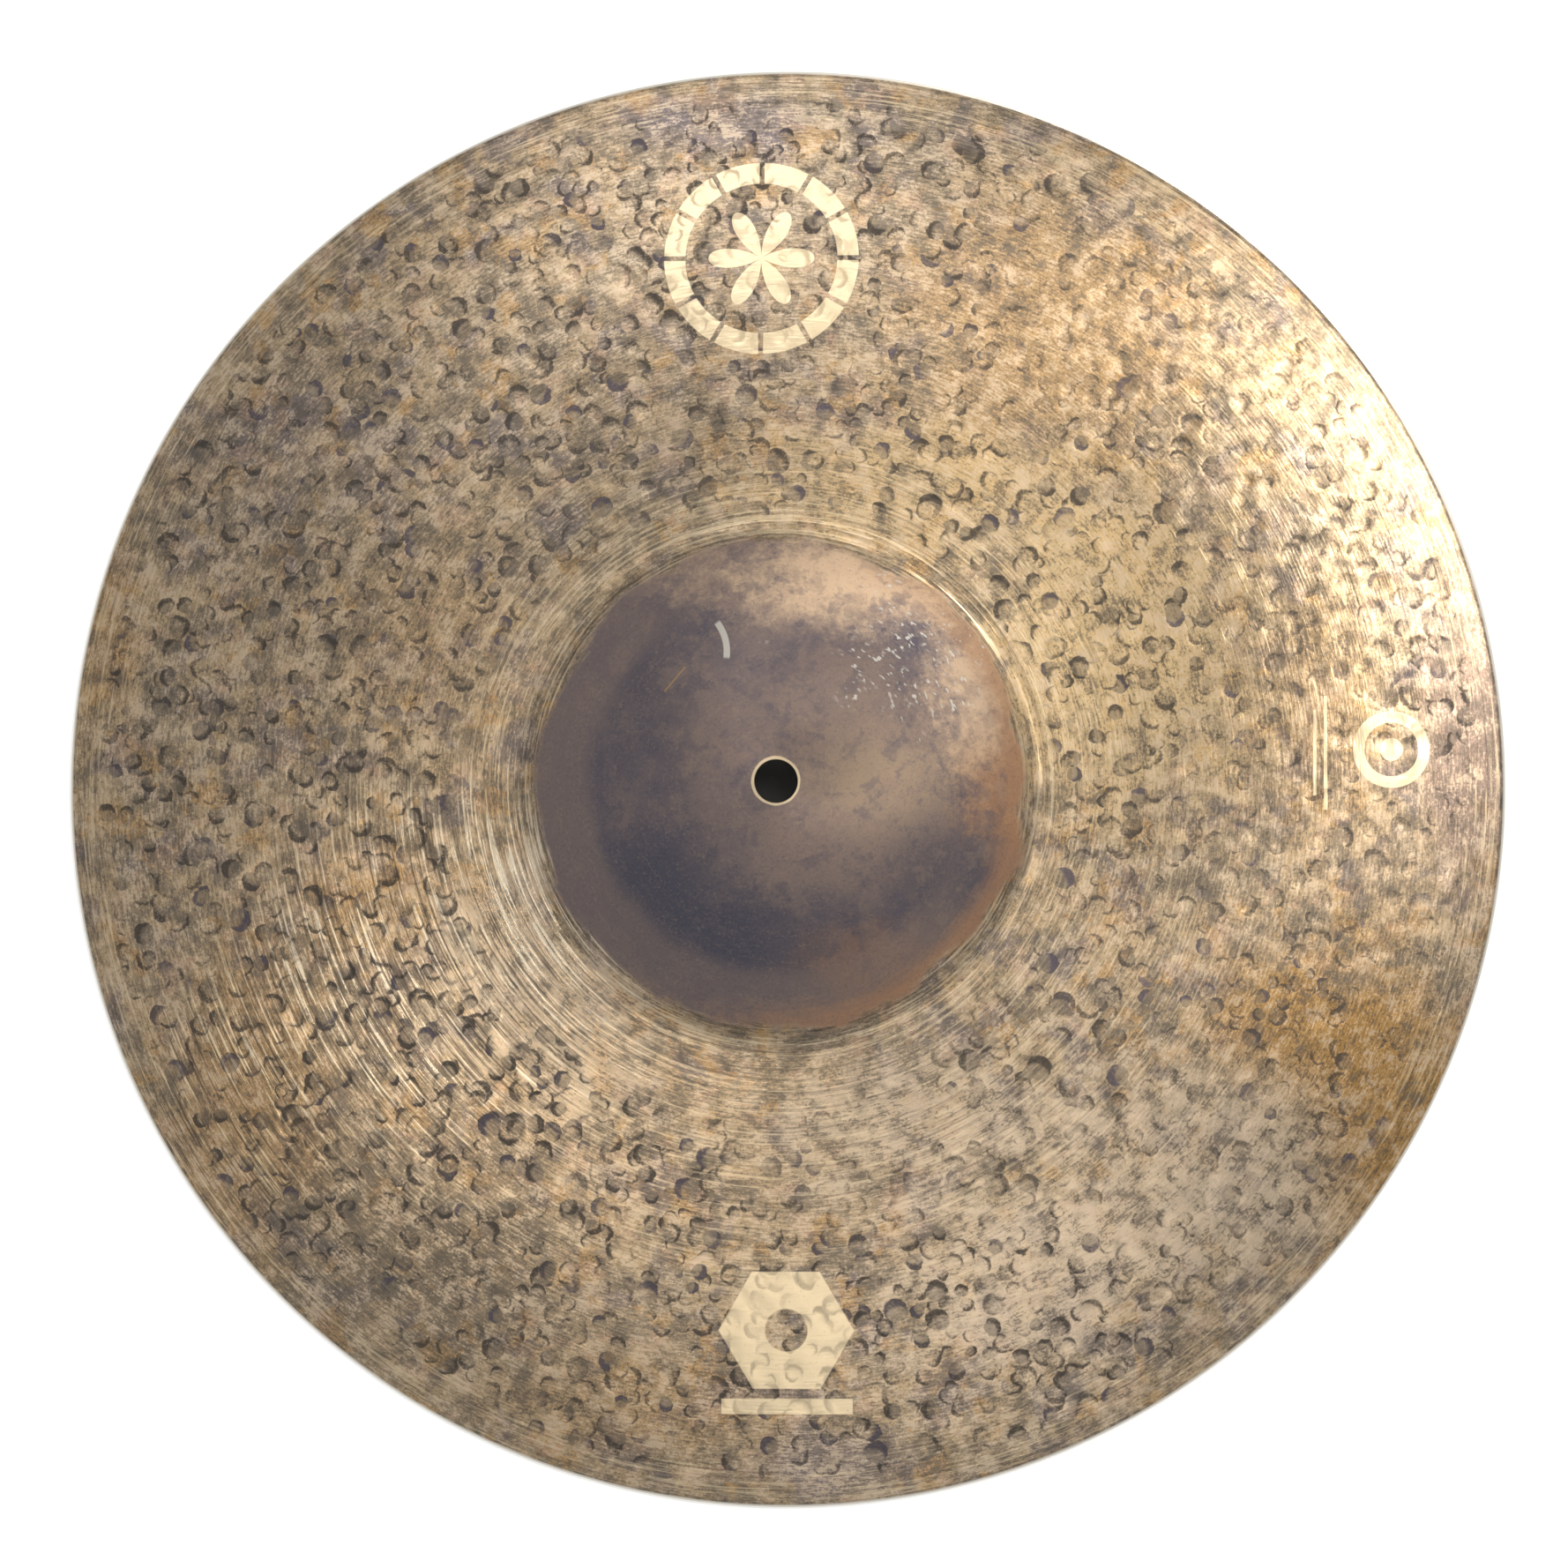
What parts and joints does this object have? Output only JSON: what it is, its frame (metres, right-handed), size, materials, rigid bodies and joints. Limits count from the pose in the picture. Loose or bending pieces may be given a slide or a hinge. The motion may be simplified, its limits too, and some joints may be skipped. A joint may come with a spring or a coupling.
{
  "type": "cymbal",
  "caption": "Shallow round bronze cymbal with a raised bell, a central hole for a stand's rod, and a hammered and lathed surface.",
  "frame": {"origin": "middle of the circle where the rim rests, in the resting plane", "axes": "+Z is the axis the plate was turned about, up through the hole and out of the bell; X and Y are alike, because the plate is round"},
  "size_m": [0.4064, 0.4064, 0.046],
  "materials": {
    "bronze": "hammered, dark patina cut back by lathing, satin"
  },
  "bodies": {
    "root": {"cymbal": "bronze"}
  },
  "joints": []
}
